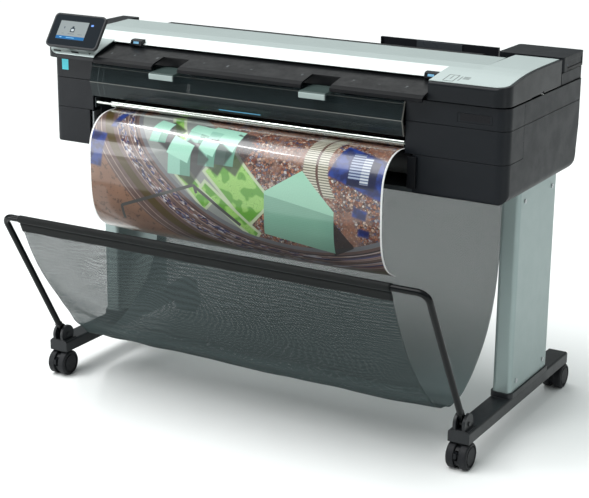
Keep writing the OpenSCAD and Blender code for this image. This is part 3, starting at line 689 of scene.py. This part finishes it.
def parks(g, x, y, p, w, r, col):
    """Paved land along the inner side of the roads, with the parks on it."""
    land = block(x, y, 0.33, 0.17, 0.24, 0.12, 0.72, 0.004) * r.below(ROAD_IN)
    col = g.mix(land, col, g.mix(w, (0.27, 0.30, 0.30), (0.42, 0.44, 0.41)))
    for cx, cy, w2, h2, turn in PARKS:
        path = block(x, y, cx, cy, w2 + PARK_EDGE, h2 + PARK_EDGE, turn)
        col = g.mix(path * r.below(PARK_REACH), col, (0.58, 0.66, 0.48))
        grass = g.mix(g.noise(p, 26.0, 1).smooth(0.46, 0.54), (0.40, 0.66, 0.20), (0.17, 0.44, 0.055))
        rings = (g.noise(p, 22.0, 1) * 26.0).frac()
        grass = g.mix(rings.below(0.12) * 0.5, grass, (0.10, 0.30, 0.05))
        col = g.mix(block(x, y, cx, cy, w2, h2, turn) * r.below(PARK_REACH), col, grass)
    return col


# Each pale green building: middle, half sides, turn and how far its wall reaches down.
BUILDINGS = ((0.222, 0.072, 0.026, 0.020, 0.5, 0.045), (0.345, 0.066, 0.034, 0.016, 0.3, 0.04),
             (0.425, 0.060, 0.050, 0.012, 0.2, 0.03), (0.440, 0.092, 0.030, 0.026, 0.5, 0.06),
             (0.385, 0.118, 0.026, 0.020, 0.55, 0.045), (0.300, 0.135, 0.036, 0.026, 0.6, 0.06))


def buildings(g, x, y, col):
    """A shadow, then the walls below, then the roof above."""
    for cx, cy, w2, h2, turn, tall in BUILDINGS:
        shadow = block(x, y, cx + 0.030, cy + tall * 0.55, w2 + 0.008, h2 + tall * 0.40, turn, 0.004)
        col = g.mix(shadow * 0.8, col, (0.03, 0.03, 0.035))
        wall = abs(x - cx).smooth(w2 - 0.001, w2 + 0.001, 1, 0) * (y - cy).within(0.0, tall + h2 * 0.4, 0.001)
        col = g.mix(wall, col, g.mix((x - cx).above(w2 * 0.1), (0.36, 0.62, 0.52), (0.18, 0.40, 0.31)))
        col = g.mix(block(x, y, cx, cy, w2, h2, turn * 0.5), col, (0.46, 0.74, 0.62))
    return col


STANDS_X, STANDS_Y = 0.93, 0.105
STANDS_R, AISLE_R = (0.180, 0.252), (0.209, 0.216)
BLUE_PATCHES = ((0.018, 0.165, 0.030, 0.048, 0.15), (0.072, 0.055, 0.010, 0.045, 0.1),
                (0.850, 0.235, 0.020, 0.013, 0.2), (0.862, 0.285, 0.016, 0.010, 0.1))


def stands_and_tower(g, x, y, p, col):
    """The terrace of stands, and the blue ground with its pale tower."""
    arc_r = ((x - STANDS_X) * (x - STANDS_X) + (y - STANDS_Y) * (y - STANDS_Y)).sqrt()
    stand = arc_r.within(*STANDS_R, 0.002) * x.below(0.80) * y.within(0.012, 0.205, 0.003)
    rows = g.mix((y * 150.0).frac().below(0.45), (0.66, 0.64, 0.55), (0.20, 0.20, 0.15))
    rows = g.mix(arc_r.within(*AISLE_R, 0.001), rows, (0.16, 0.09, 0.07))
    col = g.mix(stand, col, rows)
    blue = g.mix(g.noise(p, 30.0, 3).smooth(0.4, 0.6), (0.008, 0.018, 0.13), (0.022, 0.07, 0.34))
    col = g.mix(block(x, y, 0.862, 0.128, 0.098, 0.050, 0.30, 0.004), col, blue)
    col = g.mix(block(x, y, 0.852, 0.130, 0.040, 0.038, 0.1, 0.002), col, (0.006, 0.012, 0.07))
    floors = (y * 130.0).frac().below(0.45)
    col = g.mix(block(x, y, 0.829, 0.112, 0.017, 0.036, 0.0), col,
                g.mix(floors, (0.42, 0.48, 0.60), (0.04, 0.07, 0.20)))
    col = g.mix(block(x, y, 0.858, 0.122, 0.012, 0.036, 0.0), col,
                g.mix(floors, (0.62, 0.66, 0.70), (0.16, 0.20, 0.32)))
    for place in BLUE_PATCHES:
        col = g.mix(block(x, y, *place, 0.004), col, blue)
    return col


LARGE_X0, LARGE_X1, GABLE_X = 0.568, 0.776, 0.70


def large_block(g, x, y, col):
    """A many-cornered roof over a finely lined wall, and its shadow on the right."""
    eave = (x - LARGE_X0) * 0.145 + 0.222
    ridge = ((x - LARGE_X0) * -0.62 + 0.214).max((x - GABLE_X) * 0.98 + 0.166)
    foot = (x - LARGE_X0) * 0.125 + 0.330
    shadow = x.within(0.772, 0.832, 0.002) * (y - ((x - LARGE_X1) * 1.0 + 0.268)).above(0.0)
    shadow = shadow * (y - ((x - LARGE_X1) * -0.55 + 0.362)).below(0.0)
    col = g.mix(shadow * 0.92, col, (0.022, 0.016, 0.018))
    span = x.within(LARGE_X0, LARGE_X1, 0.0008)
    wall = span * (y - eave).above(0.0) * (y - foot).below(0.0)
    lined = g.mix((y * 210.0).frac().smooth(0.7, 0.95) * 0.4, (0.29, 0.52, 0.41), (0.19, 0.40, 0.31))
    lined = g.mix(x.smooth(0.72, LARGE_X1) * 0.35, lined, (0.20, 0.40, 0.32))
    col = g.mix(wall, col, lined)
    roof = span * (y - eave).below(0.0) * (y - ridge).above(0.0)
    return g.mix(roof, col, (0.42, 0.69, 0.55))


# Each run of the footbridge: middle, half length and turn.
BRIDGE_RUNS = ((0.226, 0.273, 0.128, -0.36), (0.420, 0.273, 0.087, 0.543), (0.107, 0.338, 0.022, 1.5),
               (0.352, 0.238, 0.012, 1.2))
BRIDGE_HALF_WIDTH = 0.0044


def print_material(width, start, length):
    """A glossy generic site plan: roads, blocks, parks and a busy town, with a white margin."""
    g = Mat("glossy_site_plan", Roughness=0.3, Coat_Weight=0.6, Coat_Roughness=0.05)
    vec, (x, v, _) = g.coords("UV")
    w = g.noise(vec, 9.0, 3)
    y = v - start
    p = g.vec(x, y)
    dx, dy = x - ROAD_X, y - ROAD_Y
    r = (dx * dx + dy * dy).sqrt()
    t = dy / (dx - 2.0)
    col = town_and_ground(g, p, w, r.below(ROAD_IN))
    col = roads(g, p, r, t, col)
    col = parks(g, x, y, p, w, r, col)
    col = buildings(g, x, y, col)
    col = stands_and_tower(g, x, y, p, col)
    col = large_block(g, x, y, col)
    for cx, cy, reach, turn in BRIDGE_RUNS:
        col = g.mix(block(x, y, cx, cy, reach, BRIDGE_HALF_WIDTH, turn, 0.0006), col, (0.10, 0.105, 0.10))
    # fine print texture, more contrast, and the white margin
    col = g.mix(g.noise(p, 320.0, 3, 0.7) * 0.22, col, (0.05, 0.045, 0.05))
    col = g.mix(0.45, col, g.mix(1.0, col, col, "MULTIPLY"))
    margin = x.below(WHITE_MARGIN).max(x.above(width - WHITE_MARGIN)).max(y.above(length - WHITE_MARGIN))
    g.set("Base Color", g.mix(margin, col, (0.88, 0.89, 0.88)))
    g.relief(g.noise(vec, 8.0, 2), 0.15, 0.002)
    return g.m


# The printed picture starts where the paper leaves the platen and comes out behind the rod.
PLATEN_Z, PICTURE_TOP_Y = 0.81, -0.146
FREE_FROM, FREE_LENGTH, CORNER_LIFT = 0.20, 0.25, 0.018

path = smooth_path(PRINT_PATH, 0.006)
points, distance = path
off_platen = abs(points[:, 0] - PICTURE_TOP_Y) + (points[:, 1] > PLATEN_Z) * 9
START = distance[np.argmin(off_platen)]
pos, uv = strip(path, PAPER_X0, PAPER_X1, 120)
# the free end lifts a little at its corners
free = np.clip((uv[..., 1] - START - FREE_FROM) / FREE_LENGTH, 0, 1)
side = np.abs(uv[..., 0] / (PAPER_X1 - PAPER_X0) * 2 - 1)
pos[..., 1] += free ** 2 * side ** 3 * CORNER_LIFT
printed = grid_mesh("print", pos, uv, PAPER_THICK)
printed.data.materials.append(print_material(PAPER_X1 - PAPER_X0, float(START), float(distance[-1] - START)))
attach(printed, "body_on_stand")
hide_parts("print_sheet")
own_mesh(printed)


# ---------------------------------------------------------------- basket cloth
CLOTH_X0, CLOTH_X1 = -0.588, 0.548
BAR = (-0.4615, 0.53882)
ROD = (0.218, 0.655)
SLING_PATH = [(-462.5, 529.8), (-449, 500), (-422, 440), (-388, 374), (-345, 304), (-293, 236), (-233, 170),
              (-170, 122), (-100, 97), (-34, 99), (28, 124), (84, 166), (132, 216), (169, 276), (193, 344),
              (207, 424), (213, 530), (216, 648)]


# The cloth's pattern and its painted light and shade, in metres. FRONT and LOW are distances along the cloth
# from its front bar.
THREAD_PITCH, TWILL_STEP, RIPPLES_PER_METRE = 1.9e-3, 0.0082, 62.0
FRONT_END, LOW_START, LOW_END = (0.36, 0.50), (0.37, 0.50), (0.56, 0.70)


def mesh_cloth(name, cover=1.0, dark=1.0):
    """An open woven mesh: fine threads both ways with holes between, denser behind, its front and back
    painted as shaded and lit copies of one cloth and darker along the bottom as painted shade, with a fine
    diagonal twill behind and slow ripples in front."""
    g = Mat(name, Roughness=0.65)
    g.set("Specular IOR Level", 0.2)
    vec, (u, v, _) = g.coords("UV")
    warp = abs((u / THREAD_PITCH).frac() - 0.5)
    weft = abs((v / THREAD_PITCH).frac() - 0.5)
    twill = abs(((u - v) / TWILL_STEP).frac() - 0.5) * 2.0
    drift = g.noise(vec, 3.2, 2, 0.4)
    ripple = abs((v * RIPPLES_PER_METRE + drift * 17.0).frac() - 0.5) * 2.0
    front = v.smooth(*FRONT_END, 1.0, 0.0)
    weave = twill * front.inv() + ripple * front
    half = (front.smooth(0.0, 1.0, 0.325, 0.262) - weave * 0.034) * cover
    thread = warp.below(half).max(weft.below(half))
    shade = weave * 0.6 + drift * 0.3
    # The front is painted as the shaded copy and the part behind as the lit copy of one cloth: painted shade
    # and painted light.
    ahead = g.mix(shade, tint((0.016, 0.024, 0.025), dark), tint((0.048, 0.066, 0.067), dark))
    behind_painted_light = g.mix(shade, tint((0.062, 0.090, 0.092), dark), tint((0.135, 0.188, 0.190), dark))
    # Darker along the bottom of the sling: painted shade.
    low_painted_shade = v.smooth(*LOW_START) * v.smooth(*LOW_END, 1.0, 0.0)
    c = g.mix(low_painted_shade * 0.65, g.mix(front, behind_painted_light, ahead), tint((0.008, 0.011, 0.011), dark))
    g.set("Base Color", c)
    g.set("Alpha", thread)
    g.relief(weave, 0.02, 0.0002)
    return g.m


def wave(u, v, seed):
    """Smooth seeded waves, about -1 to 1."""
    rng = np.random.default_rng(seed)
    out = 0
    for _ in range(7):
        k = rng.uniform(-1, 1, 2) * (9, 7)
        out = out + np.sin(u * k[0] * 2 + v * k[1] * 2 + rng.uniform(0, 6.28)) * rng.uniform(0.4, 1)
    return out / 4


def folds(u, w, length):
    """How far the cloth leans out of its path: waves, small folds in its belly, and drawn-in sides."""
    held = np.sin(np.pi * np.clip(w / length, 0, 1)) ** 0.6
    belly = np.exp(-((w - 0.52) / 0.16) ** 2)
    small = np.sin(w * 95 + wave(u, w, 9) * 3) * 0.0026 + wave(u * 3, w, 5) * 0.003
    lean = wave(u, w * 0.6, 4) * 0.004 + belly * small
    lean *= 1.0 - 0.75 * np.clip((w - 0.70) / 0.12, 0, 1)
    drawn_in = (np.exp(-u / 0.10) + np.exp(-(u.max() - u) / 0.10)) * 0.006
    left_folds = np.exp(-u / 0.16) * np.sin(w * 16 - u * 26) * 0.006
    return (lean - drawn_in + left_folds) * held


SIDE_GAP, CLOTH_THICK, HEM_THICK = 0.001, 0.00015, 0.0005

path = smooth_path(SLING_PATH, 0.0065)
length = path[1][-1]
pos, uv = strip(path, CLOTH_X0 + SIDE_GAP, CLOTH_X1 - SIDE_GAP, 170)
tangent = np.gradient(path[0], axis=0)
tangent /= np.linalg.norm(tangent, axis=1, keepdims=True)
normal = np.c_[tangent[:, 1], -tangent[:, 0]]
lean = folds(uv[..., 0], uv[..., 1], length)
pos[..., 1] += lean * normal[None, :, 0]
pos[..., 2] += lean * normal[None, :, 1]
sling = grid_mesh("sling", pos, uv, CLOTH_THICK)
sling.data.materials.append(mesh_cloth("open_mesh_cloth"))
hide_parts("sling_cloth")
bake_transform(sling)

# A hem's sides stand this far from the cloth's path, and its loop leaves this angle open.
HEM_HALF_GAP, HEM_OPEN, HEM_WAVE = 0.0016, 0.32, 0.0022
HEM_COVER, HEM_DARK = 2.2, 0.10


def sleeve(name, centre, path_points, radius, drop, body, seed):
    """The cloth's double hem round a bar: up one side, round and down the other."""
    c = np.array(centre)
    pts = path_points[0]
    seq = pts if np.linalg.norm(pts[0] - c) < np.linalg.norm(pts[-1] - c) else pts[::-1]
    dist = np.r_[0, np.cumsum(np.linalg.norm(np.diff(seq, axis=0), axis=1))]
    hem = np.array([[np.interp(d, dist, seq[:, k]) for k in (0, 1)] for d in np.linspace(drop, 0.004, 7)])
    t = hem[0] - hem[-1]
    t /= np.linalg.norm(t)
    nrm = np.array([t[1], -t[0]])
    down = math.atan2(t[1], t[0])
    around = [c + radius * np.array([math.cos(down + a), math.sin(down + a)])
              for a in np.linspace(HEM_OPEN, 2 * math.pi - HEM_OPEN, 22)]
    first = hem - nrm * HEM_HALF_GAP
    last = hem[::-1] + nrm * HEM_HALF_GAP
    if np.linalg.norm(first[-1] - around[0]) > np.linalg.norm(first[-1] - around[-1]):
        around = around[::-1]
    profile = np.vstack([first, around, last])
    d = np.r_[0, np.cumsum(np.linalg.norm(np.diff(profile, axis=0), axis=1))]
    p, q = strip((profile, d), CLOTH_X0, CLOTH_X1, 150)
    flap = np.clip((drop - np.minimum(d, d[-1] - d)) / drop, 0, 1)[None, :]
    wob = wave(q[..., 0] * 3, q[..., 1], seed) * HEM_WAVE * flap
    p[..., 2] += wob * 0.8
    p[..., 1] += wob * 0.4
    o = grid_mesh(name, p, q, HEM_THICK)
    o.data.materials.append(mesh_cloth(name + "_cloth", HEM_COVER, HEM_DARK))
    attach(o, body)
    return o


front_hem = sleeve("sling_front_hem", BAR, path, 0.0106, 0.030, "bail", 3)
rear_hem = sleeve("sling_rear_hem", ROD, path, 0.0078, 0.026, "body_on_stand", 6)


# ---------------------------------------------------------------- stage, light, camera
def plane(name, size, z):
    me = bpy.data.meshes.new(name)
    s = size / 2
    me.from_pydata([(-s, -s, z), (s, -s, z), (s, s, z), (-s, s, z)], [], [(0, 1, 2, 3)])
    o = bpy.data.objects.new(name, me)
    bpy.context.scene.collection.objects.link(o)
    return o


floor = plane("floor", 40.0, 0.0)
g = Mat("studio_floor", Roughness=0.9)
vec, _ = g.coords()
g.set("Base Color", g.mix(g.noise(vec, 0.7, 2), (0.90, 0.92, 0.915), (0.93, 0.94, 0.935)))
g.set("Specular IOR Level", 0.1)
floor.data.materials.append(g.m)


def aim(direction):
    """The turn that points a light or the camera along that direction."""
    return Vector(direction).to_track_quat("-Z", "Y")


def area(name, place, target, size, energy):
    """A rectangular light at that place, turned to the target."""
    light = bpy.data.lights.new(name, "AREA")
    light.shape = "RECTANGLE"
    light.size, light.size_y = size
    light.energy = energy
    o = bpy.data.objects.new(name, light)
    o.location = place
    o.rotation_euler = aim(Vector(target) - Vector(place)).to_euler()
    bpy.context.scene.collection.objects.link(o)


sun_data = bpy.data.lights.new("sun", "SUN")
sun_data.energy = 2.5
sun_data.angle = 0.9
sun = bpy.data.objects.new("sun", sun_data)
sun.rotation_euler = aim((0.35, 0.42, -1.0)).to_euler()
bpy.context.scene.collection.objects.link(sun)
area("back_light", (-2.6, 3.2, 4.2), (0, 0, 0.9), (4.2, 1.8), 26)
area("key_light", (-3.3, -3.2, 1.0), (-0.5, 0, 0.7), (1.7, 1.6), 55)
area("corner_light", (4.1, -1.5, 0.9), (0.65, 0, 0.6), (0.4, 1.8), 9)
area("strip_light", (-1.75, -0.85, 3.2), (-0.1, -0.2, 0.8), (1.8, 0.13), 22)

# The surroundings brighten from the horizon up to the sky. The camera sees plain white behind the object.
SKY_TOP, HORIZON_STRENGTH, SKY_STRENGTH = 0.8, 0.10, 0.62
world = bpy.data.worlds.new("studio")
world.use_nodes = True
tree = world.node_tree
ambient = tree.nodes["Background"]
ambient.inputs[0].default_value = (0.93, 1.0, 0.99, 1)
where = tree.nodes.new("ShaderNodeTexCoord")
split = tree.nodes.new("ShaderNodeSeparateXYZ")
height = tree.nodes.new("ShaderNodeMapRange")
height.interpolation_type = "SMOOTHSTEP"
for i, v in enumerate((0.0, SKY_TOP, HORIZON_STRENGTH, SKY_STRENGTH), start=1):
    height.inputs[i].default_value = v
tree.links.new(where.outputs["Generated"], split.inputs[0])
tree.links.new(split.outputs[2], height.inputs[0])
tree.links.new(height.outputs[0], ambient.inputs[1])
backdrop = tree.nodes.new("ShaderNodeBackground")
backdrop.inputs[0].default_value = (1, 1, 1, 1)
rays = tree.nodes.new("ShaderNodeLightPath")
either = tree.nodes.new("ShaderNodeMixShader")
tree.links.new(rays.outputs["Is Camera Ray"], either.inputs[0])
tree.links.new(ambient.outputs[0], either.inputs[1])
tree.links.new(backdrop.outputs[0], either.inputs[2])
tree.links.new(either.outputs[0], tree.nodes["World Output"].inputs[0])
bpy.context.scene.world = world
bpy.context.scene.view_settings.view_transform = "Standard"

CAMERA_PLACE = (2.1427, -3.6881, 1.7235)
YAW, PITCH, ROLL = 0.5237, 0.2948, 0.0091
SENSOR_WIDTH, LENS = 36, 96.7
cam_data = bpy.data.cameras.new("camera")
cam = bpy.data.objects.new("camera", cam_data)
bpy.context.scene.collection.objects.link(cam)
cam_data.sensor_width, cam_data.lens = SENSOR_WIDTH, LENS
cam_data.clip_start, cam_data.clip_end = 0.05, 100
ahead = (-math.sin(YAW) * math.cos(PITCH), math.cos(YAW) * math.cos(PITCH), -math.sin(PITCH))
cam.matrix_world = (Matrix.Translation(CAMERA_PLACE) @ aim(ahead).to_matrix().to_4x4()
                    @ Matrix.Rotation(ROLL, 4, "Z"))
bpy.context.scene.camera = cam
